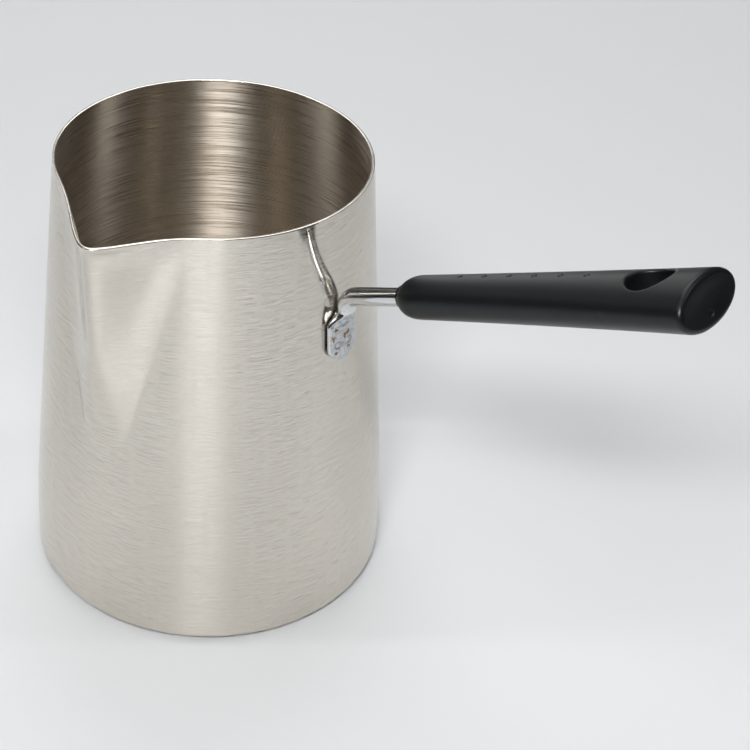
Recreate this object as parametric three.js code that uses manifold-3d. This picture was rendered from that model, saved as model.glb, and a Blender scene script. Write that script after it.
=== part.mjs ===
// Pouring pot for melting candle wax: a drawn stainless steel beaker with a pressed spout,
// a bent steel rod whose forged tab is spot-welded to the wall, and a moulded plastic grip.
// Millimetres, +Z up. The origin is the centre of the flat underside and the handle points along +X.
import * as THREE from 'three';
import { mergeVertices } from 'three/addons/utils/BufferGeometryUtils.js';
import Module from 'manifold-3d';

// Pot body
const baseRadius = 55;
const rimRadius = 46.3;
const potHeight = 140.5;
const sheet = 0.9; // thickness of the drawn steel
const cornerRadius = 4.5; // outside, between the underside and the wall
const bellyTop = 36; // the wall curves inwards up to here and is straight above

// Pouring spout, pressed outwards from the wall
const spoutAngle = THREE.MathUtils.degToRad(-85); // seen from above, counted from the handle
const spoutReach = 16.1; // how far the lip stands out from the rim circle
const spoutTipShift = 3.5; // the lip's tip is this far off the middle of the pressing, towards the handle
const spoutHalfWidth = 25.1; // at the rim, along the wall
const lipSpread = 5.6; // the lip is this much wider on each side
const spoutFootRadius = 8; // the round lower end of the pressing
const spoutFootDepth = 2.0; // how far the lower end stands out
const spoutFootHeight = 62.1; // where the pressing begins
const spoutNoseRounding = 0.09; // how blunt the ridge is at the lip, as a share of its half width
const lipHollowness = 2.5; // power that draws the lip's sides in hollow
const spoutFootBluntness = 0.9; // the same at the foot, where the ridge is a round hump
const lipFlare = 1.2; // part of the reach that comes from the lip curling outwards under the rim
const lipFlareHeight = 5;

// Handle rod and its forged tab
const rodRadius = 2.7;
const handleRise = THREE.MathUtils.degToRad(24.5); // above the horizontal
const bendRadius = 6; // centre line
const bendHeight = 115; // where the rod's line meets the line of the tab
const tabBottom = 94;
const tabWidth = 11.2;
const tabThickness = 2;
const tabEndRounding = 4.5;
const tabTaper = 5; // length over which the round rod widens into the tab
const tabStep = 1.8; // length over which it thins in the middle of the tab; at the sides it thins all along the taper
const weldGap = 0.3; // between the tab and the wall
// Weld marks, as distances across the tab and up from its lower end.
const weldMarks = [
  [0.3, 12.2],
  [-2.9, 5.6],
  [1.9, 5.7],
];
const weldPitRadius = 1.35;
const weldPitDepth = 0.22;

// Rod inside the grip
const rodDepth = 62; // how far the rod reaches into the grip
const keyLength = 14; // flattened end that stops the grip turning or pulling off
const keyWidth = 8.4;
const keyThickness = 3.2;
const rodClearance = 0.3;

// Grip
const gripStandoff = 21.8; // from the bend to the front of the grip, along the rod
const gripLength = 100;
const gripFrontWidth = 13.4;
const gripEndWidth = 26;
const gripFrontThickness = 11.8;
const gripEndThickness = 14.2;
const gripNoseLength = 8;
const gripEndRounding = 1.4;
const hangingHoleRadius = 6.3;
const hangingHolePlace = 84.4; // from the front of the grip
const dimpleCount = 6;
const dimpleFirst = 22.8;
const dimplePitch = 8.5;
const dimpleRadius = 1.1;
const dimpleDepth = 0.45;

// How finely round shapes are cut into flat faces
const potSides = 72;
const spoutCrowding = 0.62; // share by which the pot's sides crowd together at the spout
const rodSides = 20;
const gripSides = 32;

const steelSheet = new THREE.MeshStandardMaterial({ color: 0xbdb9b0, roughness: 0.22, metalness: 1 });
const steelRod = new THREE.MeshStandardMaterial({ color: 0xc9cbcd, roughness: 0.08, metalness: 1 });
const blackPlastic = new THREE.MeshStandardMaterial({ color: 0x1f2326, roughness: 0.55, metalness: 0 });

const wasm = await Module();
wasm.setup();

const mix = (a, b, share) => a + (b - a) * share;
const smooth = (share) => THREE.MathUtils.smoothstep(share, 0, 1);

// Wall shape: upright at the corner, leaning in by this slope above the belly.
const wallSlope = (baseRadius - rimRadius) / ((bellyTop - cornerRadius) / 2 + potHeight - bellyTop);
const wallLean = Math.atan(wallSlope);

function wallRadius(height) {
  const inBelly = THREE.MathUtils.clamp(height - cornerRadius, 0, bellyTop - cornerRadius);
  const bellyLoss = (wallSlope * inBelly * inBelly) / (2 * (bellyTop - cornerRadius));
  return baseRadius - bellyLoss - wallSlope * Math.max(0, height - bellyTop);
}

// How far the spout stands out from the wall. Its outline is a wedge that widens from a round foot
// to the rim; across it the pressing is a V, whose sides are flat low down and drawn in hollow at the lip.
function spoutOffset(angle, height) {
  const footCentre = spoutFootHeight + spoutFootRadius;
  const rise = (height - footCentre) / (potHeight - footCentre);
  const shift = spoutTipShift * Math.max(0, rise);
  const across = angle * wallRadius(height) - shift;
  const spread = lipSpread * smooth((rise - 0.85) / 0.15);
  const halfWidth = mix(spoutFootRadius, spoutHalfWidth, rise) + spread - Math.sign(across) * shift;
  const share = rise > 0 ? Math.abs(across) / halfWidth : Math.hypot(across, footCentre - height) / spoutFootRadius;
  if (share >= 1) return 0;
  const blunt = mix(spoutFootBluntness, spoutNoseRounding, smooth(rise / 0.5));
  const vee = (Math.hypot(1, blunt) - Math.hypot(share, blunt)) / (Math.hypot(1, blunt) - blunt);
  const flare = lipFlare * smooth((height - potHeight + lipFlareHeight) / lipFlareHeight) ** 2;
  const depth = mix(spoutFootDepth, spoutReach - lipFlare, Math.max(0, rise)) + flare;
  const flat = Math.max(0, 1 - Math.max(0, rise)) ** 1.75;
  return depth * mix(vee ** lipHollowness, vee, flat);
}

// Calls place(point) on every corner of a geometry, and joins the corners that then coincide.
function reshape(geometry, place) {
  const positions = geometry.attributes.position;
  const point = new THREE.Vector3();
  for (let i = 0; i < positions.count; i += 1) {
    point.fromBufferAttribute(positions, i);
    place(point);
    positions.setXYZ(i, point.x, point.y, point.z);
  }
  geometry.deleteAttribute('normal');
  geometry.deleteAttribute('uv');
  return mergeVertices(geometry);
}

function toSolid(geometry) {
  geometry.deleteAttribute('normal');
  geometry.deleteAttribute('uv');
  const merged = mergeVertices(geometry);
  return new wasm.Manifold(
    new wasm.Mesh({
      numProp: 3,
      vertProperties: new Float32Array(merged.attributes.position.array),
      triVerts: new Uint32Array(merged.index.array),
    }),
  );
}

function fromSolid(solid) {
  const { vertProperties, triVerts } = solid.getMesh();
  const geometry = new THREE.BufferGeometry();
  geometry.setAttribute('position', new THREE.BufferAttribute(vertProperties, 3));
  geometry.setIndex(new THREE.BufferAttribute(triVerts, 1));
  geometry.computeVertexNormals();
  return geometry;
}

function namedMesh(name, geometry, material) {
  const mesh = new THREE.Mesh(geometry, material);
  mesh.name = name;
  return mesh;
}

// A corner of the pot's section, as points from one angle to another about the corner's centre.
function cornerArc(radius, fromAngle, toAngle) {
  const steps = 4;
  const points = [];
  for (let i = 0; i <= steps; i += 1) {
    const angle = mix(fromAngle, toAngle, i / steps);
    const x = baseRadius - cornerRadius + radius * Math.cos(angle);
    points.push(new THREE.Vector2(x, cornerRadius + radius * Math.sin(angle)));
  }
  return points;
}

function potBody() {
  const bellyRows = [1 / 3, 2 / 3, 1].map((share) => mix(cornerRadius, bellyTop, share));
  const spoutShares = [0, 0.03, 0.06, 0.1, 0.17, 0.27, 0.39, 0.52, 0.65, 0.78, 0.88, 0.95, 0.98, 1];
  const spoutRows = spoutShares.map((share) => mix(spoutFootHeight, potHeight, share));
  const rows = [...bellyRows, ...spoutRows];
  const outside = rows.map((height) => new THREE.Vector2(wallRadius(height), height));
  const inside = rows.map((height) => new THREE.Vector2(wallRadius(height) - sheet, height)).reverse();
  const section = [
    new THREE.Vector2(0, 0),
    ...cornerArc(cornerRadius, -Math.PI / 2, 0),
    ...outside,
    ...inside,
    ...cornerArc(cornerRadius - sheet, 0, -Math.PI / 2),
    new THREE.Vector2(0, sheet),
  ];
  // The lathe turns about Y; its angle is counted from the spout and its height becomes Z.
  const geometry = reshape(new THREE.LatheGeometry(section, potSides), (point) => {
    const turned = Math.atan2(point.x, point.z);
    const angle = turned - spoutCrowding * Math.sin(turned);
    const height = point.y;
    const bare = Math.hypot(point.x, point.z);
    const radius = height > spoutFootHeight ? bare + spoutOffset(angle, height) : bare;
    point.set(radius * Math.cos(spoutAngle + angle), radius * Math.sin(spoutAngle + angle), height);
  });
  return namedMesh('pot_body', geometry, steelSheet);
}

// The rod's centre line lies in the XZ plane: up the wall, round the bend, then out to the grip.
const bendTurn = Math.PI / 2 + wallLean - handleRise;
const bendTangent = bendRadius * Math.tan(bendTurn / 2);
const bendCorner = new THREE.Vector2(
  wallRadius(bendHeight) + (weldGap + rodRadius) / Math.cos(wallLean),
  bendHeight,
);
const upWall = new THREE.Vector2(-Math.sin(wallLean), Math.cos(wallLean));
const outRod = new THREE.Vector2(Math.cos(handleRise), Math.sin(handleRise));
const tabLength = (bendHeight - tabBottom) / Math.cos(wallLean) - bendTangent;
const bendLength = bendRadius * bendTurn;
const gripFront = tabLength + bendLength + gripStandoff - bendTangent;
const rodEnd = gripFront + rodDepth;

// Centre line point and the direction out of the bend's hollow side, at a distance from the tab's end.
function alongRod(distance) {
  const bent = THREE.MathUtils.clamp((distance - tabLength) / bendRadius, 0, bendTurn);
  const heading = Math.PI / 2 + wallLean - bent;
  const point = bendCorner.clone().addScaledVector(upWall, Math.min(distance, tabLength) - tabLength - bendTangent);
  const outwards = new THREE.Vector2(Math.cos(wallLean), Math.sin(wallLean));
  point.addScaledVector(outwards, bendRadius * (1 - Math.cos(bent)));
  point.addScaledVector(upWall, bendRadius * Math.sin(bent));
  point.addScaledVector(outRod, Math.max(0, distance - tabLength - bendLength));
  const back = new THREE.Vector2(-Math.sin(heading), Math.cos(heading));
  return { point, back };
}

// Half width, half thickness, squareness and shift towards the wall of the rod's section. The thickness
// and the shift belong to a place across the section, given as a share of the half width.
function rodSection(distance, acrossShare) {
  const wide = 1 - smooth((distance - tabLength + tabTaper) / tabTaper);
  const thinning = mix(tabStep, tabTaper, acrossShare * acrossShare);
  const flat = 1 - smooth((distance - tabLength + thinning) / thinning);
  const fromEnd = Math.min(1, distance / tabEndRounding);
  const tabHalfWidth = (tabWidth / 2) * Math.sqrt(Math.max(0.06, 1 - (1 - fromEnd) ** 2));
  const keyed = smooth((distance - rodEnd + keyLength) / (keyLength / 3));
  return {
    halfWidth: mix(mix(rodRadius, tabHalfWidth, wide), keyWidth / 2, keyed),
    halfThickness: mix(mix(rodRadius, tabThickness / 2, flat), keyThickness / 2, keyed),
    squareness: mix(2, 4.5, Math.max(wide, keyed)),
    shift: (rodRadius - tabThickness / 2) * flat,
    flat,
  };
}

const power = (value, exponent) => Math.sign(value) * Math.abs(value) ** exponent;

// The rod between two distances, made fatter by grow on every side.
function rodPiece(distances, grow) {
  const first = distances[0];
  const last = distances[distances.length - 1];
  const profile = distances.map((distance) => new THREE.Vector2(1, distance));
  profile.unshift(new THREE.Vector2(0, first));
  profile.push(new THREE.Vector2(0, last));
  const bulge = wallRadius(mix(tabBottom, bendHeight, 0.5));
  return reshape(new THREE.LatheGeometry(profile, rodSides), (place) => {
    const { point, back } = alongRod(place.y);
    const section = rodSection(place.y, place.x);
    const across = power(place.x, 2 / section.squareness) * (section.halfWidth + grow);
    const through = power(-place.z, 2 / section.squareness) * (section.halfThickness + grow);
    const hug = (section.flat * across * across) / (2 * bulge); // the tab follows the round wall
    point.addScaledVector(back, through + section.shift + hug);
    place.set(point.x, across, point.y);
  });
}

function steps(from, to, count) {
  return Array.from({ length: count }, (_, i) => mix(from, to, (i + 1) / count));
}

function handleRod() {
  const distances = [
    0,
    ...steps(0, tabEndRounding, 4),
    ...steps(tabEndRounding, tabLength - tabTaper, 2),
    ...steps(tabLength - tabTaper, tabLength, 9),
    ...steps(tabLength, tabLength + bendLength, 7),
    gripFront,
    ...steps(rodEnd - keyLength, rodEnd - (2 * keyLength) / 3, 3),
    rodEnd,
  ];
  let solid = toSolid(rodPiece(distances, 0));
  for (const [across, distance] of weldMarks) {
    const { point, back } = alongRod(distance);
    const hug = (across * across) / (2 * wallRadius(mix(tabBottom, bendHeight, 0.5)));
    point.addScaledVector(back, rodRadius - tabThickness + hug - weldPitRadius + weldPitDepth);
    const pit = new THREE.SphereGeometry(weldPitRadius, 10, 6);
    pit.translate(point.x, across, point.y);
    solid = solid.subtract(toSolid(pit));
  }
  return namedMesh('handle_rod', fromSolid(solid), steelRod);
}

// Half thickness and half width of the grip at a distance from its front, without its round ends.
const gripHalfThickness = (distance) => mix(gripFrontThickness, gripEndThickness, distance / gripLength) / 2;

function gripHalfWidth(distance) {
  const share = distance / gripLength;
  return mix(gripFrontWidth, gripEndWidth, (share + share * share) / 2) / 2;
}

function grip() {
  const rounding = (share) => (1 - (1 - share) ** 2.3) ** (1 / 2.3);
  const profile = [new THREE.Vector2(0, 0)];
  for (const share of [0.04, 0.12, 0.25, 0.42, 0.62, 0.82, 1]) {
    profile.push(new THREE.Vector2(rounding(share), share * gripNoseLength));
  }
  for (const distance of steps(gripNoseLength, gripLength - gripEndRounding, 8)) {
    profile.push(new THREE.Vector2(1, distance));
  }
  for (const angle of steps(0, Math.PI / 2, 3)) {
    const inset = gripEndRounding * (1 - Math.cos(angle));
    const distance = gripLength - gripEndRounding * (1 - Math.sin(angle));
    profile.push(new THREE.Vector2(1 - inset / gripHalfThickness(gripLength), distance));
  }
  profile.push(new THREE.Vector2(0, gripLength));
  // Worked out lying along +X with its thickness along Z, then turned to the rod's rise.
  const outer = reshape(new THREE.LatheGeometry(profile, gripSides), (point) => {
    point.set(point.y, point.x * gripHalfWidth(point.y), -point.z * gripHalfThickness(point.y));
  });
  const hole = new THREE.CylinderGeometry(hangingHoleRadius, hangingHoleRadius, 2 * gripEndThickness, 32);
  hole.rotateX(Math.PI / 2);
  hole.translate(hangingHolePlace, 0, 0);
  let solid = toSolid(outer).subtract(toSolid(hole));
  for (let i = 0; i < dimpleCount; i += 1) {
    const distance = dimpleFirst + i * dimplePitch;
    const dimple = new THREE.SphereGeometry(dimpleRadius, 10, 6);
    dimple.translate(distance, 0, gripHalfThickness(distance) + dimpleRadius - dimpleDepth);
    solid = solid.subtract(toSolid(dimple));
  }
  const front = alongRod(gripFront).point;
  const placed = fromSolid(solid);
  placed.rotateY(-handleRise);
  placed.translate(front.x, 0, front.y);
  // The socket is the rod's own shape with clearance, run out through the front.
  const socketRows = [
    gripFront - gripNoseLength,
    ...steps(rodEnd - keyLength, rodEnd - (2 * keyLength) / 3, 3),
    rodEnd + rodClearance,
  ];
  const socketed = toSolid(placed).subtract(toSolid(rodPiece(socketRows, rodClearance)));
  return namedMesh('grip', fromSolid(socketed), blackPlastic);
}

const pot = new THREE.Group();
pot.name = 'melting_pot';
pot.add(potBody());
const handle = new THREE.Group();
handle.name = 'handle';
handle.add(handleRod());
handle.add(grip());
pot.add(handle);

export default pot;
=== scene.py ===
"""Wax pouring pot: the fine surfaces, finishes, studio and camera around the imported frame."""

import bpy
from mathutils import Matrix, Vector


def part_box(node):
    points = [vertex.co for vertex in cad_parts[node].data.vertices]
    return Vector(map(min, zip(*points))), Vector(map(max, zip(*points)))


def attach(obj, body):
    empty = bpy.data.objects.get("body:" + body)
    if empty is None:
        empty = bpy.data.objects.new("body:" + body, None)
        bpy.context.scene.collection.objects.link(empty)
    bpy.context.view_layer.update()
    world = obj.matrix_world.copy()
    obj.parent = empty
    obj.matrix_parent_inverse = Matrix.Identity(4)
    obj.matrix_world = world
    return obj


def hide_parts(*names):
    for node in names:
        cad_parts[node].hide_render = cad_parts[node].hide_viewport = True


bl_info = {
    "name": "Wax Pouring Pot",
    "version": (1, 0, 0),
    "blender": (4, 5, 0),
    "location": "3D View > Sidebar > Pouring Pot",
    "description": "Builds a drawn steel pouring pot with a spout, a bent rod handle and a moulded grip",
    "category": "Add Mesh",
}

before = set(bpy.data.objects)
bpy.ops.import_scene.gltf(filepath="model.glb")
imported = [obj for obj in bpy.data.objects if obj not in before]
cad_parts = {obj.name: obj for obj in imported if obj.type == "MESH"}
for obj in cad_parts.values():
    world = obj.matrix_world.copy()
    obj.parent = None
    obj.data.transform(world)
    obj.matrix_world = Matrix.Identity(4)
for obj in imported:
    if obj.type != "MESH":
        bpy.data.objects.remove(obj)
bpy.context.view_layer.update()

import math

import bpy
import numpy as np
from bpy.props import FloatProperty, FloatVectorProperty, IntProperty, PointerProperty
from mathutils import Matrix, Vector

MM = 0.001
POT_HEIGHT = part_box("pot_body")[1].z  # the rim is the pot's highest point


def linear(hex_colour):
    """Linear RGBA of an sRGB hex colour: c / 12.92 below 0.04045, else ((c + 0.055) / 1.055) to the 2.4."""
    channels = [int(hex_colour[i : i + 2], 16) / 255 for i in (1, 3, 5)]
    return (*[c / 12.92 if c <= 0.04045 else ((c + 0.055) / 1.055) ** 2.4 for c in channels], 1.0)


def length(name, description, millimetres):
    """A property that holds a length, given in millimetres and kept in metres."""
    return FloatProperty(
        name=name, description=description, default=millimetres * MM, unit="LENGTH", precision=5
    )


def turn(name, description, degrees):
    """A property that holds an angle, given in degrees."""
    return FloatProperty(name=name, description=description, default=math.radians(degrees), subtype="ANGLE")


def colour(name, description, hex_colour):
    """A property that holds a colour, given as sRGB hex."""
    return FloatVectorProperty(
        name=name, description=description, default=linear(hex_colour), size=4, min=0, max=1, subtype="COLOR"
    )


class PotSizes(bpy.types.PropertyGroup):
    """Sizes of the drawn beaker and its pressed spout."""

    height: length("Height", "From the table to the rim", POT_HEIGHT / MM)
    base_radius: length("Base radius", "Outside radius at the base", 55)
    rim_radius: length("Rim radius", "Outside radius at the rim", 46.3)
    sheet: length("Sheet", "Thickness of the drawn steel", 0.9)
    corner_radius: length("Corner radius", "Between the underside and the wall", 4.5)
    belly_top: length("Belly top", "Height at which the curved wall becomes straight", 36)
    spout_angle: turn("Spout angle", "Direction of the spout, counted from the handle", -85)
    spout_reach: length("Spout reach", "How far the lip stands out of the rim circle", 16.1)
    tip_shift: length("Tip shift", "How far the lip's tip is off the middle of the pressing", 3.5)
    spout_half_width: length("Spout half width", "At the rim, along the wall", 25.1)
    lip_spread: length("Lip spread", "The lip is this much wider on each side", 5.6)
    lip_flare: length("Lip flare", "Part of the reach that comes from the lip curling outwards", 1.2)
    flare_height: length("Flare height", "Over which the lip curls", 5)
    foot_radius: length("Foot radius", "Round lower end of the pressing", 8)
    foot_depth: length("Foot depth", "How far the pressing's lower end stands out", 2.0)
    foot_height: length("Foot height", "Where the pressing begins", 62.1)
    nose_rounding: FloatProperty(
        name="Nose rounding",
        description="How blunt the lip's ridge is, as a share of its half width",
        default=0.09,
    )
    foot_bluntness: FloatProperty(
        name="Foot bluntness",
        description="How blunt the ridge is at the foot, where it is a round hump",
        default=0.9,
    )
    lip_hollowness: FloatProperty(
        name="Lip hollowness", description="Power that draws the lip's sides in hollow", default=2.5
    )


class HandleSizes(bpy.types.PropertyGroup):
    """Sizes of the bent rod, its weld tab and its key inside the grip."""

    rod_radius: length("Rod radius", "Of the round steel rod", 2.7)
    rise: turn("Rise", "Of the handle above the horizontal", 24.5)
    bend_radius: length("Bend radius", "Of the rod's centre line", 6)
    bend_height: length("Bend height", "Where the rod's line meets the line of the tab", 115)
    tab_bottom: length("Tab bottom", "Height of the tab's lower end", 94)
    tab_width: length("Tab width", "Across the flattened tab", 11.2)
    tab_thickness: length("Tab thickness", "Of the flattened tab", 2)
    tab_rounding: length("Tab rounding", "Of the tab's lower corners", 4.5)
    tab_taper: length("Tab taper", "Over which the round rod widens into the tab", 5)
    tab_step: length("Tab step", "Over which the rod thins to the tab, in its middle", 1.8)
    weld_gap: length("Weld gap", "Between the tab and the wall", 0.3)
    weld_pit: length("Weld pit", "Radius of each weld mark", 1.35)
    pit_depth: length("Pit depth", "Of each weld mark", 0.22)
    rod_depth: length("Rod depth", "How far the rod reaches into the grip", 62)
    key_length: length("Key length", "Flattened end inside the grip", 14)
    key_width: length("Key width", "Across the flattened end", 8.4)
    key_thickness: length("Key thickness", "Of the flattened end", 3.2)


class GripSizes(bpy.types.PropertyGroup):
    """Sizes of the moulded grip."""

    standoff: length("Standoff", "From the bend to the front of the grip", 21.8)
    length: length("Length", "Along the rod", 100)
    front_width: length("Front width", "Across the grip at its front", 13.4)
    end_width: length("End width", "Across the grip at its end", 26)
    front_thickness: length("Front thickness", "At its front", 11.8)
    end_thickness: length("End thickness", "At its end", 14.2)
    nose_length: length("Nose length", "Of the domed front", 8)
    end_rounding: length("End rounding", "Of the edge round the end face", 1.4)
    clearance: length("Clearance", "Round the rod in its socket", 0.3)
    hole_radius: length("Hole radius", "Of the hanging hole", 6.3)
    hole_place: length("Hole place", "From the front of the grip", 84.4)
    hole_rounding: length("Hole rounding", "Of the hanging hole's edges", 0.8)
    dimple_count: IntProperty(name="Dimples", description="Number of dimples along the top", default=6, min=0)
    dimple_first: length("First dimple", "From the front of the grip", 22.8)
    dimple_pitch: length("Dimple pitch", "From one dimple to the next", 8.5)
    dimple_radius: length("Dimple radius", "At the surface", 0.9)
    dimple_depth: length("Dimple depth", "Of each dimple", 0.45)


class FinishColours(bpy.types.PropertyGroup):
    """Colours of the pot's finishes and of the studio."""

    outside_steel: colour("Outside steel", "Reflection colour of the polished outside", "#dbd5cb")
    inside_steel: colour("Inside steel", "Reflection colour of the brushed inside", "#e0d8cd")
    rod_steel: colour("Rod steel", "Reflection colour of the rod", "#d6d8da")
    frosted_steel: colour("Frosted steel", "Reflection colour of the hammered tab", "#bcc0c3")
    # Painted shade: a darker blue grey laid round the steep wall of each weld pit, where the dent falls in
    # shade.
    weld_pit_shade: colour("Weld ring", "Rim of each weld pit", "#8d949c")
    heat_tint: colour("Heat tint", "Straw brown left by the spot welds", "#8d6b45")
    grip_plastic: colour("Grip plastic", "Black moulded plastic", "#0a0d10")
    table: colour("Table", "Pale table top", "#dfe1e3")


def smooth(share):
    """Eases from 0 to 1 as 3 s^2 - 2 s^3, and stays flat outside that range."""
    share = np.clip(share, 0, 1)
    return share * share * (3 - 2 * share)


def mix(a, b, share):
    """The value a given share of the way from a to b."""
    return a + (b - a) * share


def unit(vectors):
    """The same vectors at length 1."""
    return vectors / np.linalg.norm(vectors, axis=-1, keepdims=True)


def skin_faces(row_count, column_count):
    """Quads between neighbouring rows of a closed skin, then the fans that close its two poles.

    Vertex 0 is the first pole, then come the rows, and the last vertex is the second pole."""
    rows = np.arange(row_count - 1)[:, None]
    columns = np.arange(column_count)[None, :]
    nearer = 1 + rows * column_count
    beside = (columns + 1) % column_count
    further = nearer + column_count
    quads = np.stack([nearer + columns, nearer + beside, further + beside, further + columns], axis=-1)
    first = np.arange(column_count)
    beside_first = (first + 1) % column_count
    last_row = 1 + (row_count - 1) * column_count
    end = 1 + row_count * column_count
    start_fan = np.stack([np.zeros_like(first), 1 + beside_first, 1 + first], axis=-1)
    end_fan = np.stack([last_row + first, last_row + beside_first, np.full_like(first, end)], axis=-1)
    return quads, start_fan, end_fan


def add_piece(context, name, points, faces, node, materials, face_materials=None):
    """Makes a smooth mesh object of these points and faces and lets it stand for its CAD node."""
    mesh = bpy.data.meshes.new(name)
    mesh.from_pydata(points.tolist(), [], faces)
    mesh.polygons.foreach_set("use_smooth", np.ones(len(faces), bool))
    for material in materials:
        mesh.materials.append(material)
    if face_materials is not None:
        mesh.polygons.foreach_set("material_index", face_materials.astype(np.int32))
    mesh.update()
    if mesh.validate():
        raise RuntimeError(f"{name}: the mesh had faults")
    piece = bpy.data.objects.new(name, mesh)
    context.scene.collection.objects.link(piece)
    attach(piece, "root")
    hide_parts(node)
    return piece


def add_node(tree, kind, sockets=None, **settings):
    """Adds a node with its settings. sockets maps a socket to a value, or to an output to link it to."""
    node = tree.nodes.new(kind)
    for key, value in settings.items():
        setattr(node, key, value)
    for key, value in (sockets or {}).items():
        if isinstance(value, bpy.types.NodeSocket):
            tree.links.new(value, node.inputs[key])
        else:
            node.inputs[key].default_value = value
    return node


def new_material(name):
    """An empty material and its node tree."""
    material = bpy.data.materials.new(name)
    material.use_nodes = True
    material.node_tree.nodes.clear()
    return material, material.node_tree


def finish_material(tree, sockets):
    """Ends a material with a Principled shader that holds these sockets."""
    shader = add_node(tree, "ShaderNodeBsdfPrincipled", sockets)
    add_node(tree, "ShaderNodeOutputMaterial", {"Surface": shader.outputs["BSDF"]})


def level_lines(tree, line_length, line_height, detail=2.0):
    """Noise drawn out into level lines round the pot: it changes quickly along the section only."""
    place = add_node(tree, "ShaderNodeTexCoord")
    section = add_node(tree, "ShaderNodeUVMap", uv_map=POT_UV)
    across = add_node(tree, "ShaderNodeSeparateXYZ", {0: place.outputs["Object"]})
    along = add_node(tree, "ShaderNodeSeparateXYZ", {0: section.outputs["UV"]})
    scaled = [
        product(tree, value, 1 / size)
        for value, size in (
            (across.outputs["X"], line_length),
            (across.outputs["Y"], line_length),
            (along.outputs["X"], line_height),
        )
    ]
    joined = add_node(tree, "ShaderNodeCombineXYZ", {"X": scaled[0], "Y": scaled[1], "Z": scaled[2]})
    sockets = {"Vector": joined.outputs[0], "Scale": 1.0, "Detail": detail}
    return add_node(tree, "ShaderNodeTexNoise", sockets).outputs["Fac"]


def bump(tree, height, distance, normal=None):
    """A bump whose full height stands for this real distance."""
    sockets = {"Height": height, "Distance": distance, "Strength": 1.0}
    if normal is not None:
        sockets["Normal"] = normal
    return add_node(tree, "ShaderNodeBump", sockets).outputs["Normal"]


def spread(tree, value, low, high, start=0.0, end=1.0):
    """Maps a value that runs from start to end onto the range from low to high, and holds it there beyond."""
    sockets = {"Value": value, "From Min": start, "From Max": end, "To Min": low, "To Max": high}
    return add_node(tree, "ShaderNodeMapRange", sockets).outputs["Result"]


def blend(tree, share, first, second):
    """The colour a given share of the way from the first to the second."""
    return add_node(tree, "ShaderNodeMix", {0: share, 6: first, 7: second}, data_type="RGBA").outputs[2]


def grain(tree, size, detail=2.0):
    """Even noise whose patches are about this size."""
    place = add_node(tree, "ShaderNodeTexCoord")
    sockets = {"Vector": place.outputs["Object"], "Scale": 1 / size, "Detail": detail}
    return add_node(tree, "ShaderNodeTexNoise", sockets).outputs["Fac"]


def product(tree, first, second):
    """Two values multiplied."""
    return add_node(tree, "ShaderNodeMath", {0: first, 1: second}, operation="MULTIPLY").outputs[0]


def attribute(tree, name):
    """A value kept on the points of the mesh."""
    return add_node(tree, "ShaderNodeAttribute", attribute_name=name).outputs["Fac"]


POT_UV = "SectionDistance"  # x is the distance along the section in metres, y the share of a turn


def polished_outside_steel(colours):
    """Stainless sheet, polished over a level brush: a soft mirror, with hazy hair lines that draw the lights
    out into upright bands."""
    material, tree = new_material("polished_stainless_outside")
    hair_lines = level_lines(tree, 5 * MM, 0.03 * MM, detail=1.0)
    hazy = spread(tree, hair_lines, low=0.08, high=0.44, start=0.42, end=0.72)
    waves = bump(tree, grain(tree, 16 * MM, detail=1.0), 0.015 * MM)
    tangent = add_node(tree, "ShaderNodeTangent", direction_type="UV_MAP", uv_map=POT_UV)
    finish_material(
        tree,
        {
            "Base Color": colours.outside_steel,
            "Metallic": 1.0,
            "Roughness": hazy,
            "Anisotropic": 1.0,
            "Tangent": tangent.outputs[0],
            "Normal": waves,
        },
    )
    return material


def brushed_inside_steel(colours):
    """Stainless sheet spun against an abrasive: its level grooves pull each light into an upright streak."""
    material, tree = new_material("brushed_stainless_inside")
    fine = level_lines(tree, 24 * MM, 0.3 * MM, detail=3.0)
    wavering = level_lines(tree, 9 * MM, 2.5 * MM, detail=1.0)
    grooves = bump(tree, fine, 0.004 * MM)
    bands = bump(tree, wavering, 0.06 * MM, normal=grooves)
    tangent = add_node(tree, "ShaderNodeTangent", direction_type="UV_MAP", uv_map=POT_UV)
    finish_material(
        tree,
        {
            "Base Color": colours.inside_steel,
            "Metallic": 1.0,
            "Roughness": spread(tree, fine, low=0.2, high=0.42, start=0.35, end=0.65),
            "Anisotropic": 1.0,
            "Tangent": tangent.outputs[0],
            "Normal": bands,
        },
    )
    return material


def cut_edge_steel(colours):
    """The bare rim, cut and deburred: short level marks, smoother than the brushed inside."""
    material, tree = new_material("deburred_stainless_rim")
    marks = level_lines(tree, 3 * MM, 0.4 * MM)
    finish_material(
        tree,
        {
            "Base Color": colours.outside_steel,
            "Metallic": 1.0,
            "Roughness": spread(tree, marks, low=0.14, high=0.26),
            "Normal": bump(tree, marks, 0.01 * MM),
        },
    )
    return material


def wall_slope(size):
    """Inward lean of the straight wall, as radius lost for each height gained."""
    return (size.base_radius - size.rim_radius) / (
        (size.belly_top - size.corner_radius) / 2 + size.height - size.belly_top
    )


def wall_radius(size, height):
    """Outside radius of the bare wall at a height: a parabola through the belly, then a straight line."""
    belly = size.belly_top - size.corner_radius
    in_belly = np.clip(height - size.corner_radius, 0, belly)
    above = np.maximum(height - size.belly_top, 0)
    return size.base_radius - wall_slope(size) * (in_belly**2 / (2 * belly) + above)


LIP_START = 0.85  # share of the way from the foot up to the rim at which the lip begins to widen
RIDGE_SHARP = 0.5  # share of it at which the ridge is as sharp as at the lip
FLAT_SIDES = 1.75  # power that says how soon the flat sides turn hollow on the way up


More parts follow.
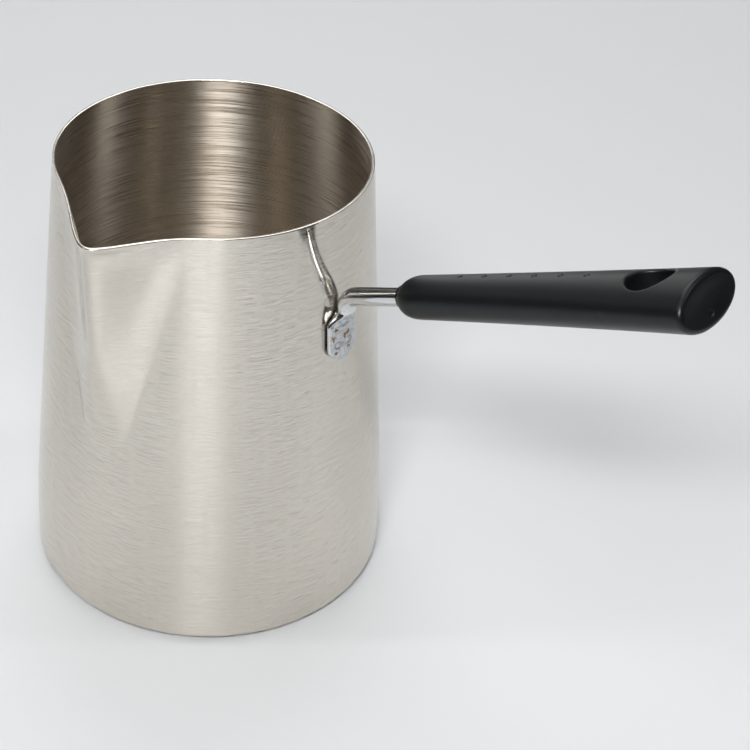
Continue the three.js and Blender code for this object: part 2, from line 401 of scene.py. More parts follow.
def spout_offset(size, angle, height):
    """How far the spout stands out of the wall.

    The outline is a wedge from a round foot to the rim. Across it, with s the share of the half width and b
    the bluntness of the ridge, the pressing is the V with the height h(1) - h(s), where h(s) is the root of
    s^2 + b^2; towards the lip that height is raised to the power of the lip's hollowness. The ridge drifts
    sideways as it rises, and the last stretch under the rim curls further outwards."""
    foot_centre = size.foot_height + size.foot_radius
    rise = (height - foot_centre) / (size.height - foot_centre)
    shift = size.tip_shift * np.maximum(rise, 0)
    across = angle * wall_radius(size, height) - shift
    half_width = mix(size.foot_radius, size.spout_half_width, np.maximum(rise, 0)) - np.sign(across) * shift
    half_width = half_width + size.lip_spread * smooth((rise - LIP_START) / (1 - LIP_START))
    below = np.hypot(across, foot_centre - height) / size.foot_radius
    share = np.minimum(np.where(rise > 0, np.abs(across) / half_width, below), 1)
    blunt = mix(size.foot_bluntness, size.nose_rounding, smooth(rise / RIDGE_SHARP))
    vee = (np.hypot(1, blunt) - np.hypot(share, blunt)) / (np.hypot(1, blunt) - blunt)
    vee = np.maximum(vee, 0)
    flare = size.lip_flare * smooth((height - size.height + size.flare_height) / size.flare_height) ** 2
    depth = mix(size.foot_depth, size.spout_reach - size.lip_flare, np.maximum(rise, 0)) + flare
    flat = (1 - np.clip(rise, 0, 1)) ** FLAT_SIDES
    return depth * mix(vee**size.lip_hollowness, vee, flat)


def pot_section(size):
    """Radius and height along the outside, from near the middle of the underside to just under the rim."""
    flat = size.base_radius - size.corner_radius
    under = flat * np.linspace(0.05, 1, 16)
    corner = np.radians(np.linspace(-90, 0, 13))[1:]
    belly = np.linspace(size.corner_radius, size.foot_height, 34)[1:]
    upper = np.linspace(size.foot_height, size.height - size.flare_height, 90)[1:]
    lip = np.linspace(size.height - size.flare_height, size.height - size.sheet / 2, 14)[1:]
    heights = np.concatenate([belly, upper, lip])
    radius = np.concatenate([under, flat + size.corner_radius * np.cos(corner), wall_radius(size, heights)])
    height = np.concatenate([0 * under, size.corner_radius * (1 + np.sin(corner)), heights])
    return radius, height


POT_COLUMNS = 280
SPOUT_CROWDING = 0.62  # share by which the pot's columns crowd together at the spout
RIM_ROUNDING = 0.55  # power of the rim's squared half circle; 1 would be a true one


def pot_rows(size):
    """Rows of the pot's closed skin: the outside, the rounded rim, then the inside one sheet further in.

    The outside is the section turned about Z with the spout's offset added to its radius. The inside is the
    outside moved by the sheet along its own normal, and the rim joins them with a squared half circle."""
    turned = np.linspace(-math.pi, math.pi, POT_COLUMNS, endpoint=False)
    angle = turned - SPOUT_CROWDING * np.sin(turned)
    radius, height = pot_section(size)
    offset = spout_offset(size, angle[None, :], height[:, None])
    reach = radius[:, None] + offset
    bearing = size.spout_angle + angle
    level = np.broadcast_to(height[:, None], reach.shape)
    outside = np.stack([reach * np.cos(bearing), reach * np.sin(bearing), level], axis=-1)
    up = unit(np.gradient(outside, axis=0))
    around = np.roll(outside, -1, axis=1) - np.roll(outside, 1, axis=1)
    out = unit(np.cross(around, up))
    inside = outside - size.sheet * out
    half = size.sheet / 2
    centre = outside[-1] - half * out[-1]
    swing = np.radians(np.linspace(0, 180, 13))[1:-1, None, None]
    outwards = np.sign(np.cos(swing)) * np.abs(np.cos(swing)) ** RIM_ROUNDING
    upwards = np.sin(swing) ** RIM_ROUNDING
    rim = centre + half * (outwards * out[-1] + upwards * up[-1])
    return outside, rim, inside[::-1]


def section_uv(rows, quads, start_fan, end_fan):
    """UV of every face corner of the pot: the distance along the section, and the share of a turn."""
    steps = np.linalg.norm(np.diff(rows[:, 0], axis=0), axis=-1)
    distance = np.concatenate([[0], np.cumsum(steps)]) + np.linalg.norm(rows[0, 0])
    far = distance[-1] + np.linalg.norm(rows[-1, 0, :2])
    share = np.arange(POT_COLUMNS) / POT_COLUMNS
    beside = share + 1 / POT_COLUMNS
    middle = share + 0.5 / POT_COLUMNS
    quad_u = np.stack([distance[:-1], distance[:-1], distance[1:], distance[1:]], axis=-1)
    quad_u = np.broadcast_to(quad_u[:, None, :], quads.shape)
    quad_v = np.broadcast_to(np.stack([share, beside, beside, share], axis=-1), quads.shape)
    start_u = np.broadcast_to([0, distance[0], distance[0]], start_fan.shape)
    start_v = np.stack([middle, beside, share], axis=-1)
    end_u = np.broadcast_to([distance[-1], distance[-1], far], end_fan.shape)
    end_v = np.stack([share, beside, middle], axis=-1)
    us = np.concatenate([start_u.ravel(), quad_u.ravel(), end_u.ravel()])
    vs = np.concatenate([start_v.ravel(), quad_v.ravel(), end_v.ravel()])
    return np.stack([us, vs], axis=-1)


def build_pot(context, size, colours):
    """Joins the pot's rows into one closed piece with its three finishes and its section UV map."""
    outside, rim, inside = pot_rows(size)
    rows = np.concatenate([outside, rim, inside])
    start = np.zeros((1, 3))
    end = np.array([[0, 0, size.sheet]])
    points = np.concatenate([start, rows.reshape(-1, 3), end])
    quads, start_fan, end_fan = skin_faces(len(rows), POT_COLUMNS)
    faces = start_fan.tolist() + quads.reshape(-1, 4).tolist() + end_fan.tolist()
    outer, edge, inner = 0, 1, 2  # places of the three finishes in the list of materials
    materials = [polished_outside_steel(colours), cut_edge_steel(colours), brushed_inside_steel(colours)]
    finish_of_row = np.full(len(rows) - 1, edge)
    finish_of_row[: len(outside) - 1] = outer
    finish_of_row[len(outside) + len(rim) :] = inner
    finish_of_quad = np.repeat(finish_of_row, POT_COLUMNS)
    finishes = np.concatenate([np.full(POT_COLUMNS, outer), finish_of_quad, np.full(POT_COLUMNS, inner)])
    piece = add_piece(context, "pot_shell", points, faces, "pot_body", materials, finishes)
    layer = piece.data.uv_layers.new(name=POT_UV)
    uv = section_uv(rows, quads, start_fan, end_fan)
    layer.data.foreach_set("uv", uv.astype(np.float32).ravel())
    return piece


def handle_line(pot, handle, grip):
    """Where the rod's line bends, and how far from the tab's end each of its stretches ends."""
    lean = math.atan(wall_slope(pot))
    bend_turn = math.pi / 2 + lean - handle.rise
    tangent = handle.bend_radius * math.tan(bend_turn / 2)
    away = (handle.weld_gap + handle.rod_radius) / math.cos(lean)
    corner = np.array([float(wall_radius(pot, handle.bend_height)) + away, handle.bend_height])
    tab_length = (handle.bend_height - handle.tab_bottom) / math.cos(lean) - tangent
    bend_length = handle.bend_radius * bend_turn
    grip_front = tab_length + bend_length + grip.standoff - tangent
    return {
        "lean": lean,
        "turn": bend_turn,
        "tangent": tangent,
        "corner": corner,
        "tab": tab_length,
        "bend": bend_length,
        "front": grip_front,
        "end": grip_front + handle.rod_depth,
    }


def along_rod(line, handle, distance):
    """Centre line points in the XZ plane at distances from the tab's end, and which way the rod's back faces.

    The line runs straight up the wall, round the bend as an arc, and straight out to the grip. On the tab
    the back is the side towards the wall."""
    lean = line["lean"]
    bent = np.clip((distance - line["tab"]) / handle.bend_radius, 0, line["turn"])
    heading = math.pi / 2 + lean - bent
    up_wall = np.array([-math.sin(lean), math.cos(lean)])
    outwards = np.array([math.cos(lean), math.sin(lean)])
    out_rod = np.array([math.cos(handle.rise), math.sin(handle.rise)])
    below = np.minimum(distance, line["tab"]) - line["tab"] - line["tangent"]
    beyond = np.maximum(distance - line["tab"] - line["bend"], 0)
    point = line["corner"] + below[:, None] * up_wall + beyond[:, None] * out_rod
    point = point + handle.bend_radius * (1 - np.cos(bent))[:, None] * outwards
    point = point + handle.bend_radius * np.sin(bent)[:, None] * up_wall
    back = np.stack([-np.sin(heading), np.cos(heading)], axis=-1)
    return point, back


SQUARENESS = 4.5  # power n of the tab's and the key's section; 2 is the round rod's
TAB_END = 0.002  # least share of the tab's half width, squared, at its very end


def rod_rows(pot, handle, line, distance, angle, grow):
    """Rows of points round the rod at these distances, made fatter by grow.

    Each section is a superellipse |x / a|^n + |y / b|^n = 1: a circle on the rod, and wide, flat and squarish
    on the tab and on the key. The rod widens slowly into the tab, and thins in a short step in the middle
    and slowly at the sides. The tab also bends sideways to follow the round wall."""
    wide = 1 - smooth((distance - line["tab"] + handle.tab_taper) / handle.tab_taper)
    from_end = np.minimum(1, distance / handle.tab_rounding)
    tab_half = handle.tab_width / 2 * np.sqrt(np.maximum(TAB_END, 1 - (1 - from_end) ** 2))
    keyed = smooth((distance - line["end"] + handle.key_length) / (handle.key_length / 3))
    half_width = mix(mix(handle.rod_radius, tab_half, wide), handle.key_width / 2, keyed)
    power = 2 / mix(2, SQUARENESS, np.maximum(wide, keyed))[:, None]
    cosine = np.cos(angle)[None, :]
    sine = np.sin(angle)[None, :]
    thinning = mix(handle.tab_step, handle.tab_taper, cosine**2)
    flat = 1 - smooth((distance[:, None] - line["tab"] + thinning) / thinning)
    half_thick = mix(handle.rod_radius, handle.tab_thickness / 2, flat)
    half_thick = mix(half_thick, handle.key_thickness / 2, keyed[:, None])
    across = np.sign(cosine) * np.abs(cosine) ** power * (half_width + grow)[:, None]
    through = np.sign(sine) * np.abs(sine) ** power * (half_thick + grow)
    bulge = wall_radius(pot, (handle.tab_bottom + handle.bend_height) / 2)
    hug = flat * across**2 / (2 * bulge)
    shift = (handle.rod_radius - handle.tab_thickness / 2) * flat
    point, back = along_rod(line, handle, distance)
    place = point[:, None, :] + (through + shift + hug)[:, :, None] * back[:, None, :]
    return np.stack([place[:, :, 0], across, place[:, :, 1]], axis=-1), across, through


WELD_MARKS = ((0.3, 12.2), (-2.9, 5.6), (1.9, 5.7))  # millimetres across the tab and up from its lower end
BURNS = ((-3.45, 11.0), (-4.5, 8.2), (-3.7, 3.3), (1.5, 8.6), (-0.1, 7.9), (1.3, 3.4))  # the same way
BURN = "burn"  # 1 in the middle of a scorched spot of the tab, 0 beyond it
# Mask of the painted shade on the wall of each weld pit.
PIT_SHADE = "ring"  # 1 on the rim of a weld pit, 0 away from it
FROST = "frost"  # 1 on the frosted face of the tab, 0 on the polished rod


# Place and width of the painted shade ring on each weld pit's wall.
PIT_SHADE_PLACE = 0.8  # of the ring round a weld pit, in radii of the pit
PIT_SHADE_WIDTH = 0.22  # the same way


def polished_rod_steel(colours):
    """Drawn stainless rod, polished to a mirror; its forged tab is frosted, hammered and scorched, and shade
    is painted in a blue grey ring on the wall of each weld pit.
    """
    material, tree = new_material("polished_stainless_rod")
    frost = attribute(tree, FROST)
    ragged = spread(tree, grain(tree, 0.7 * MM, detail=4.0), low=-1.3, high=1.3)
    torn = add_node(tree, "ShaderNodeMath", {0: attribute(tree, BURN), 1: ragged}, operation="ADD")
    scorched = spread(tree, torn.outputs[0], low=0, high=1, start=0.45, end=0.6)
    mottled = spread(tree, grain(tree, 0.8 * MM, detail=3.0), low=0, high=1, start=0.35, end=0.65)
    dull = blend(tree, product(tree, mottled, frost), colours.rod_steel, colours.frosted_steel)
    # Painted shade: the walls of the weld pits are darkened with a blue grey ring.
    pit_shaded = blend(tree, attribute(tree, PIT_SHADE), dull, colours.weld_pit_shade)
    tinted = blend(tree, scorched, pit_shaded, colours.heat_tint)
    dents = bump(tree, product(tree, grain(tree, 1.3 * MM), frost), 0.6 * MM)
    finish_material(
        tree,
        {
            "Base Color": tinted,
            "Metallic": 1.0,
            "Roughness": spread(tree, frost, low=0.07, high=0.32),
            "Normal": bump(tree, grain(tree, 0.3 * MM), 0.003 * MM, normal=dents),
        },
    )
    return material


def rod_distances(handle, line):
    """Distances of the rod's rings from the tab's end, closest at that end, on the taper and in the bend."""
    widening = line["tab"] - handle.tab_taper
    bend_end = line["tab"] + line["bend"]
    key = line["end"] - handle.key_length
    return np.concatenate(
        [
            handle.tab_rounding * (1 - np.cos(np.linspace(0.02, math.pi / 2, 24))),
            np.linspace(handle.tab_rounding, widening, 40)[1:],
            np.linspace(widening, line["tab"], 24)[1:],
            np.linspace(line["tab"], bend_end, 30)[1:],
            np.linspace(bend_end, key, 30)[1:],
            np.linspace(key, line["end"], 20)[1:],
        ]
    )


def from_marks(marks, across, distance):
    """How far each point of the tab is from the nearest of these marks."""
    apart = [np.hypot(across - side * MM, distance[:, None] - up * MM) for side, up in marks]
    return np.min(apart, axis=0)


def build_rod(context, pot, handle, grip, colours):
    """The rod with its tab, three weld pits and hidden key, as one closed skin.

    A pit is a dip (1 - r^2)^1.5 of its depth, where r is the distance from its middle in radii."""
    line = handle_line(pot, handle, grip)
    angle = -np.linspace(0, 2 * math.pi, 96, endpoint=False)
    distance = rod_distances(handle, line)
    rows, across, through = rod_rows(pot, handle, line, distance, angle, 0)
    front = smooth(-through / (handle.tab_thickness / 2))
    from_weld = from_marks(WELD_MARKS, across, distance) / handle.weld_pit
    pit = handle.pit_depth * np.maximum(0, 1 - from_weld**2) ** 1.5 * front
    _, back = along_rod(line, handle, distance)
    rows[:, :, 0] += pit * back[:, None, 0]
    rows[:, :, 2] += pit * back[:, None, 1]
    start = rows[0].mean(axis=0, keepdims=True)
    end = rows[-1].mean(axis=0, keepdims=True)
    points = np.concatenate([start, rows.reshape(-1, 3), end])
    quads, start_fan, end_fan = skin_faces(len(rows), len(angle))
    faces = start_fan.tolist() + quads.reshape(-1, 4).tolist() + end_fan.tolist()
    materials = [polished_rod_steel(colours)]
    piece = add_piece(context, "rod_and_tab", points, faces, "handle_rod", materials)
    on_tab = smooth((line["tab"] - handle.tab_step - distance) / MM)[:, None] * front
    burn = np.maximum(0, 1 - from_marks(BURNS, across, distance) / handle.weld_pit)
    # Painted shade ring on each weld pit's wall, strongest at 0.8 of the pit's radius.
    ring = np.exp(-(((from_weld - PIT_SHADE_PLACE) / PIT_SHADE_WIDTH) ** 2))
    for name, level in ((FROST, on_tab), (BURN, burn * on_tab), (PIT_SHADE, ring * on_tab)):
        values = np.concatenate([[0], level.ravel(), [0]])
        on_points = piece.data.attributes.new(name, "FLOAT", "POINT")
        on_points.data.foreach_set("value", values.astype(np.float32))
    return piece


def matte_grip_plastic(colours):
    """Black polypropylene moulded in a spark-eroded tool: matte, with a fine even grain and a soft sheen."""
    material, tree = new_material("moulded_black_polypropylene")
    finish_material(
        tree,
        {
            "Base Color": colours.grip_plastic,
            "Roughness": spread(tree, grain(tree, 9 * MM, detail=3.0), low=0.34, high=0.42),
            "IOR": 1.49,
            "Specular IOR Level": 0.38,
            "Normal": bump(tree, grain(tree, 0.45 * MM), 0.02 * MM),
        },
    )
    return material


GRIP_HALF = 96  # columns on the top half of a ring of the grip
GRIP_BLOCK = 27  # columns of it that come before the hanging hole's block
BLOCK_ROWS = GRIP_HALF - 2 * GRIP_BLOCK + 1
DIMPLE_MARGIN = 2 * MM  # the rings stay close together this far past the first and the last dimple
LIP_ROUND = 0.35 * MM  # rounding of the socket's mouth
DOME_POWER = 2.3  # of the superellipse that rounds the grip's front
END_DISH = 0.25 * MM  # how far the end face is dished
GATE_DROP = 3 * MM  # the moulding gate's mark is this far below the middle of the end face
GATE_RADIUS = 0.8 * MM
GATE_HEIGHT = 0.25 * MM


def grip_half_sizes(grip, distance):
    """Half width and half thickness of the grip without its round ends.

    With s the share of the length, the width grows with (s + s^2) / 2 and the thickness with s."""
    share = distance / grip.length
    width = mix(grip.front_width, grip.end_width, (share + share**2) / 2)
    thickness = mix(grip.front_thickness, grip.end_thickness, share)
    return width / 2, thickness / 2


def grip_rings(distance, across, up):
    """Rings of points that lie along X at these distances, from their places across and up."""
    return np.stack([np.broadcast_to(distance[:, None], across.shape), across, up], axis=-1)


def body_distances(grip, square):
    """Distances of the body's rings from the grip's front, closest along the dimples and at the hole."""
    dimple_end = grip.dimple_first + (grip.dimple_count - 1) * grip.dimple_pitch
    hole = grip.hole_place
    return np.concatenate(
        [
            np.linspace(grip.nose_length, grip.dimple_first - DIMPLE_MARGIN, 12),
            np.linspace(grip.dimple_first - DIMPLE_MARGIN, dimple_end + DIMPLE_MARGIN, 160)[1:],
            np.linspace(dimple_end + DIMPLE_MARGIN, hole - square, 16)[1:-1],
            np.linspace(hole - square, hole + square, BLOCK_ROWS),
            np.linspace(hole + square, grip.length - grip.end_rounding, 14)[1:],
        ]
    )


def grip_body(grip, ring):
    """Rings of the grip's body along X, and the number of the first one at the hanging hole.

    A ring has the top half's columns and then the bottom half's. Near the hole the grid is drawn in so that
    a square block of it becomes the hole's circle. The dimples are smooth round dips along the top."""
    cosine = np.cos(ring)
    block_share = math.cos(math.pi * GRIP_BLOCK / GRIP_HALF)
    hole = grip.hole_place
    square = grip.hole_radius + grip.hole_rounding
    distance = body_distances(grip, square)
    first_block_row = int(np.argmin(np.abs(distance - (hole - square))))
    half_width, _ = grip_half_sizes(grip, distance)
    near_hole = smooth((distance - hole + 2.4 * square) / square)
    near_hole = near_hole * smooth((hole + 2.1 * square - distance) / square)
    block_half = mix(block_share * half_width, square, near_hole)[:, None]
    beyond = (np.abs(cosine) - block_share) / (1 - block_share)
    inner = block_half * cosine / block_share
    outer = np.sign(cosine) * (block_half + (half_width[:, None] - block_half) * beyond)
    from_middle = np.where(np.abs(cosine) <= block_share + 1e-9, inner, outer) / square
    from_hole = (np.broadcast_to(distance[:, None], from_middle.shape) - hole) / square
    away = np.maximum(np.maximum(np.abs(from_hole), np.abs(from_middle)), 1e-9)
    circle_along = from_hole * np.sqrt(1 - (from_middle / away) ** 2 / 2)
    circle_across = from_middle * np.sqrt(1 - (from_hole / away) ** 2 / 2)
    unchanged = smooth((away - 1) / 0.6)
    along = hole + square * mix(circle_along, from_hole, unchanged)
    sideways = square * mix(circle_across, from_middle, unchanged)
    width, thick = grip_half_sizes(grip, along)
    on_top = np.sin(ring) >= 0
    height = np.where(on_top, 1.0, -1.0) * thick * np.sqrt(np.maximum(0, 1 - (sideways / width) ** 2))
    places = grip.dimple_first + grip.dimple_pitch * np.arange(grip.dimple_count)
    from_dimple = np.abs(along[:, :, None] - places).min(axis=2)
    dimple = np.maximum(0, 1 - (from_dimple**2 + sideways**2) / grip.dimple_radius**2)
    height = height - np.where(on_top, grip.dimple_depth * smooth(dimple), 0)
    return np.stack([along, sideways, height], axis=-1), first_block_row


def grip_front(handle, grip, ring):
    """Rings from the socket's mouth over its rounded lip, then a dome shrunk by a superellipse."""
    cosine = np.cos(ring)
    sine = np.sin(ring)
    lip_radius = handle.rod_radius + grip.clearance
    lip_turn = np.radians(np.linspace(90, 0, 6))
    lip_reach = (lip_radius + LIP_ROUND * (1 - np.cos(lip_turn)))[:, None]
    lip = grip_rings(LIP_ROUND * (1 - np.sin(lip_turn)), lip_reach * cosine, lip_reach * sine)
    share = np.linspace(1, 0, 26)[1:] ** 1.6
    rounding = (1 - (1 - share) ** DOME_POWER) ** (1 / DOME_POWER)
    width, thick = grip_half_sizes(grip, share * grip.nose_length)
    width = np.maximum(width * rounding, lip_radius + LIP_ROUND)[:, None]
    thick = np.maximum(thick * rounding, lip_radius + LIP_ROUND)[:, None]
    dome = grip_rings(share * grip.nose_length, width * cosine, thick * sine)
    return np.concatenate([lip[::-1], dome[::-1]])


def grip_end(grip, body):
    """Rings round the end's rounded edge and over the dished end face with its raised gate mark."""
    body_end = grip.length - grip.end_rounding
    edge_turn = np.radians(np.linspace(0, 90, 9))[1:]
    distance = body_end + grip.end_rounding * np.sin(edge_turn)
    inset = grip.end_rounding * (1 - np.cos(edge_turn))
    width, thick = grip_half_sizes(grip, distance)
    outline = body[-1, :, 1:] / np.array(grip_half_sizes(grip, body_end))
    across = (width - inset)[:, None] * outline[:, 0]
    up = (thick - inset)[:, None] * outline[:, 1]
    edge = grip_rings(distance, across, up)
    shrink = np.linspace(1, 0.04, 22)[1:]
    dish = END_DISH * smooth((1 - shrink) / 0.8)
    face = grip_rings(grip.length - dish, shrink[:, None] * across[-1], shrink[:, None] * up[-1])
    from_gate = np.hypot(face[:, :, 1], face[:, :, 2] + GATE_DROP) / GATE_RADIUS
    face[:, :, 0] += GATE_HEIGHT * smooth(1.5 - from_gate)
    return np.concatenate([edge, face])


def block_outline(first_row):
    """Ring and column numbers of the body, once round the edge of the hanging hole's block."""
    columns = np.arange(GRIP_BLOCK, GRIP_HALF - GRIP_BLOCK + 1)
    rows = np.arange(first_row, first_row + BLOCK_ROWS)
    near = np.full(len(columns) - 1, rows[0])
    far = np.full(len(columns) - 1, rows[-1])
    left = np.full(len(rows) - 1, columns[0])
    right = np.full(len(rows) - 1, columns[-1])
    outline_rows = np.concatenate([near, rows[:-1], far, rows[:0:-1]])
    outline_columns = np.concatenate([columns[:-1], right, columns[:0:-1], left])
    return outline_rows, outline_columns


def hole_wall(grip, body, rows, columns):
    """Rings of the hanging hole's wall, from the top down, each edge rounded by a quarter circle."""
    top = body[rows, columns]
    bottom = body[rows, 2 * GRIP_HALF - columns]
    middle = np.array([grip.hole_place, 0])
    outward = unit(top[:, :2] - middle)
    fillet = np.radians(np.linspace(0, 90, 8))[1:]
    radius = grip.hole_radius + grip.hole_rounding * (1 - np.sin(fillet))
    drop = grip.hole_rounding * (1 - np.cos(fillet))
    circles = middle + radius[:, None, None] * outward
    upper = np.concatenate([circles, (top[:, 2] - drop[:, None])[:, :, None]], axis=-1)
    lower = np.concatenate([circles, (bottom[:, 2] + drop[:, None])[:, :, None]], axis=-1)[::-1]
    down = np.linspace(0, 1, 9)[1:-1, None, None]
    return np.concatenate([upper, mix(upper[-1], lower[0], down), lower])


def at_grip_front(line, handle, local):
    """Turns points that lie along X to the rod's rise and sets them at the grip's front."""
    front, _ = along_rod(line, handle, np.array([line["front"]]))
    cosine = math.cos(handle.rise)
    sine = math.sin(handle.rise)
    x = front[0, 0] + cosine * local[..., 0] - sine * local[..., 2]
    z = front[0, 1] + sine * local[..., 0] + cosine * local[..., 2]
    return np.stack([x, local[..., 1], z], axis=-1)


def build_grip(context, pot, handle, grip, colours):
    """The grip as one closed skin: socket, lip, dome, dimpled body, end face and the hanging hole through it.

    The hole's block is left out of the skin on top and underneath, and the hole's wall joins the two gaps."""
    line = handle_line(pot, handle, grip)
    ring = np.arange(2 * GRIP_HALF) * math.pi / GRIP_HALF
    socket_distance = np.concatenate(
        [
            np.linspace(line["end"] + grip.clearance, line["end"] - handle.key_length, 14),
            np.linspace(line["end"] - handle.key_length, line["front"] + 2 * LIP_ROUND, 12)[1:],
        ]
    )
    socket, _, _ = rod_rows(pot, handle, line, socket_distance, ring, grip.clearance)
    nose = grip_front(handle, grip, ring)
    body, block_row = grip_body(grip, ring)
    outer = at_grip_front(line, handle, np.concatenate([nose, body, grip_end(grip, body)]))
    skin = np.concatenate([socket, outer])
    start = socket[0].mean(axis=0, keepdims=True)
    end = at_grip_front(line, handle, np.array([[grip.length - END_DISH, 0, 0]]))
    outline_rows, outline_columns = block_outline(block_row)
    wall = at_grip_front(line, handle, hole_wall(grip, body, outline_rows, outline_columns))
    points = np.concatenate([start, skin.reshape(-1, 3), end, wall.reshape(-1, 3)])

    body_row = len(socket) + len(nose)
    quads, start_fan, end_fan = skin_faces(len(skin), 2 * GRIP_HALF)
    block = slice(body_row + block_row, body_row + block_row + BLOCK_ROWS - 1)
    kept = np.ones(quads.shape[:2], bool)
    kept[block, GRIP_BLOCK : GRIP_HALF - GRIP_BLOCK] = False
    kept[block, GRIP_HALF + GRIP_BLOCK : 2 * GRIP_HALF - GRIP_BLOCK] = False
    outline_start = 1 + (body_row + outline_rows) * 2 * GRIP_HALF
    top_edge = outline_start + outline_columns
    bottom_edge = outline_start + 2 * GRIP_HALF - outline_columns
    first_of_wall = len(points) - wall.shape[0] * wall.shape[1]
    wall_numbers = np.arange(first_of_wall, len(points)).reshape(wall.shape[:2])
    levels = np.concatenate([top_edge[None], wall_numbers, bottom_edge[None]])
    beside = np.roll(levels, -1, axis=1)
    wall_quads = np.stack([levels[:-1], beside[:-1], beside[1:], levels[1:]], axis=-1)

    # Points inside the block belong to no face any more, so they are dropped and the rest renumbered.
    all_quads = np.concatenate([quads[kept], wall_quads.reshape(-1, 4)])
    used = np.zeros(len(points), bool)
    for part in (all_quads, start_fan, end_fan):
        used[part] = True
    number = np.cumsum(used) - 1
    faces = number[start_fan].tolist() + number[all_quads].tolist() + number[end_fan].tolist()
    materials = [matte_grip_plastic(colours)]
    return add_piece(context, "moulded_grip", points[used], faces, "grip", materials)


# Name, bearing from the handle and elevation in degrees, distance, width and height in metres, radiance.
SOFTBOXES = (
    ("key_softbox", -53.4, 48.4, 0.94, 0.3, 0.12, 50),
    ("left_softbox", -137.5, 45, 5.0, 0.3, 1.6, 17),
    ("right_softbox", 42.5, 45, 5.0, 0.3, 1.6, 15),
    ("overhead_softbox", 132.5, 75, 2.5, 1.6, 1.6, 1.7),
    ("behind_softbox", 130, 50, 1.4, 1.0, 0.6, 2.6),
    ("back_softbox", 160, 8, 5.0, 6.0, 1.6, 1.45),
)


def direction(bearing, elevation):
    """Unit vector at a bearing from the handle and an elevation, both in degrees."""
    bearing = math.radians(bearing)
    elevation = math.radians(elevation)
    level = math.cos(elevation)
    return Vector((level * math.cos(bearing), level * math.sin(bearing), math.sin(elevation)))


def add_softbox(context, name, bearing, elevation, distance, width, height, radiance):
    """A rectangular light that faces the pot from a bearing and elevation, with an even radiance."""
    outwards = direction(bearing, elevation)
    data = bpy.data.lights.new(name, "AREA")
    data.shape = "RECTANGLE"
    data.size = width
    data.size_y = height
    data.energy = radiance * math.pi * width * height
    light = bpy.data.objects.new(name, data)
    light.location = outwards * distance
    light.rotation_mode = "QUATERNION"
    light.rotation_quaternion = outwards.to_track_quat("Z", "Y")
    context.scene.collection.objects.link(light)


def table_material(colours):
    """Matte painted table top, pale and even."""
    material, tree = new_material("matte_painted_table")
    finish_material(tree, {"Base Color": colours.table, "Roughness": 0.7, "Specular IOR Level": 0.2})
    return material


ROOM_LOW = 0.03  # radiance of the dark room at table height
ROOM_HIGH = 0.08  # and overhead
BACKDROP = "#d9dbdd"


def studio_world(context):
    """A dim room, nearly black at table height and dark grey overhead; the camera sees a pale backdrop."""
    world = bpy.data.worlds.new("dim_room")
    context.scene.world = world
    world.use_nodes = True
    tree = world.node_tree
    tree.nodes.clear()
    where = add_node(tree, "ShaderNodeTexCoord")
    parts = add_node(tree, "ShaderNodeSeparateXYZ", {0: where.outputs["Generated"]})
    rise = spread(tree, parts.outputs["Z"], low=0, high=1, start=0.1, end=0.5)
    room = blend(tree, rise, (ROOM_LOW,) * 3 + (1,), (ROOM_HIGH,) * 3 + (1,))
    path = add_node(tree, "ShaderNodeLightPath")
    seen = blend(tree, path.outputs["Is Camera Ray"], room, linear(BACKDROP))
    sky = add_node(tree, "ShaderNodeBackground", {"Color": seen, "Strength": 1.0})
    add_node(tree, "ShaderNodeOutputWorld", {"Surface": sky.outputs[0]})


def add_camera(context):
    """A long lens that looks down on the pot from the spout's and the handle's side, tilted a little."""
    heading = 126.7  # bearing in which the camera looks
    pitch = -35.83
    tilt = math.radians(4.2)
    place = Vector((339.0, -369.9, 426.7)) * MM
    ahead = direction(heading, pitch)
    right = direction(heading - 90, 0)
    up = right.cross(ahead)
    turned_right = math.cos(tilt) * right + math.sin(tilt) * up
    turned_up = math.cos(tilt) * up - math.sin(tilt) * right
    data = bpy.data.cameras.new("long_lens")
    data.sensor_width = 36
    data.lens = 95.35
    camera = bpy.data.objects.new("long_lens", data)
    turned = Matrix((turned_right, turned_up, -ahead)).transposed().to_4x4()
    camera.matrix_world = Matrix.Translation(place) @ turned
    context.scene.collection.objects.link(camera)
    context.scene.camera = camera


class POURINGPOT_OT_stage(bpy.types.Operator):
    """Make the table, the lights, the room and the camera"""

    bl_idname = "pouringpot.stage"
    bl_label = "Make Stage"

    def execute(self, context):
        colours = context.scene.finish_colours
        half_side = 0.65
        drop = 0.05 * MM  # keeps the table clear of the pot's underside
        mesh = bpy.data.meshes.new("table_top")
        sides = ((-1, -1), (1, -1), (1, 1), (-1, 1))
        corners = [(x * half_side, y * half_side, -drop) for x, y in sides]
        mesh.from_pydata(corners, [], [(0, 1, 2, 3)])
        mesh.materials.append(table_material(colours))
        table = bpy.data.objects.new("table_top", mesh)
        context.scene.collection.objects.link(table)
        studio_world(context)
        for softbox in SOFTBOXES:
            add_softbox(context, *softbox)
        add_camera(context)
        context.scene.view_settings.view_transform = "Standard"
        return {"FINISHED"}


class POURINGPOT_OT_body(bpy.types.Operator):
    """Make the drawn steel beaker with its spout"""

    bl_idname = "pouringpot.body"
    bl_label = "Make Pot Body"

    def execute(self, context):
        build_pot(context, context.scene.pot_sizes, context.scene.finish_colours)
        return {"FINISHED"}


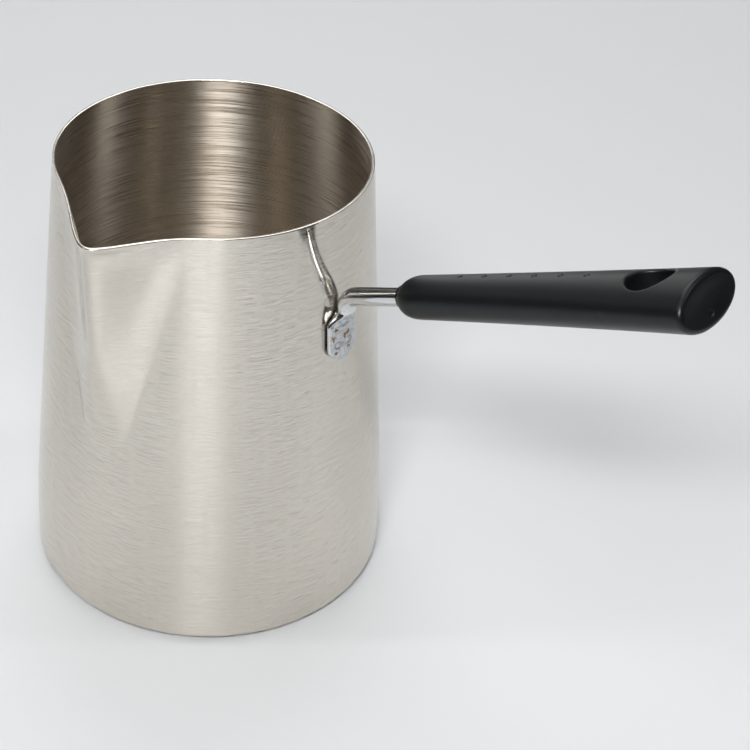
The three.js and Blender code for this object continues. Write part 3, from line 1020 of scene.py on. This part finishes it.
class POURINGPOT_OT_rod(bpy.types.Operator):
    """Make the bent steel rod with its weld tab"""

    bl_idname = "pouringpot.rod"
    bl_label = "Make Handle Rod"

    def execute(self, context):
        scene = context.scene
        build_rod(context, scene.pot_sizes, scene.handle_sizes, scene.grip_sizes, scene.finish_colours)
        return {"FINISHED"}


class POURINGPOT_OT_grip(bpy.types.Operator):
    """Make the moulded grip with its dimples and hanging hole"""

    bl_idname = "pouringpot.grip"
    bl_label = "Make Grip"

    def execute(self, context):
        scene = context.scene
        build_grip(context, scene.pot_sizes, scene.handle_sizes, scene.grip_sizes, scene.finish_colours)
        return {"FINISHED"}


class POURINGPOT_PT_panel(bpy.types.Panel):
    """Lists the pot's sizes, finishes and operators"""

    bl_idname = "POURINGPOT_PT_panel"
    bl_label = "Pouring Pot"
    bl_space_type = "VIEW_3D"
    bl_region_type = "UI"
    bl_category = "Pouring Pot"

    def draw(self, context):
        for group in GROUPS:
            box = self.layout.box()
            box.label(text=group)
            settings = getattr(context.scene, group)
            for name in type(settings).__annotations__:
                box.prop(settings, name)
        for operator in OPERATORS:
            self.layout.operator(operator.bl_idname)


GROUPS = {
    "pot_sizes": PotSizes,
    "handle_sizes": HandleSizes,
    "grip_sizes": GripSizes,
    "finish_colours": FinishColours,
}
OPERATORS = (POURINGPOT_OT_stage, POURINGPOT_OT_body, POURINGPOT_OT_rod, POURINGPOT_OT_grip)


def register():
    for name, group in GROUPS.items():
        bpy.utils.register_class(group)
        setattr(bpy.types.Scene, name, PointerProperty(type=group))
    for cls in (*OPERATORS, POURINGPOT_PT_panel):
        bpy.utils.register_class(cls)


def unregister():
    for cls in (POURINGPOT_PT_panel, *reversed(OPERATORS)):
        bpy.utils.unregister_class(cls)
    for name, group in GROUPS.items():
        delattr(bpy.types.Scene, name)
        bpy.utils.unregister_class(group)


def main():
    """Makes the stage and every piece."""
    register()
    bpy.ops.pouringpot.stage()
    bpy.ops.pouringpot.body()
    bpy.ops.pouringpot.rod()
    bpy.ops.pouringpot.grip()


if __name__ == "__main__":
    main()
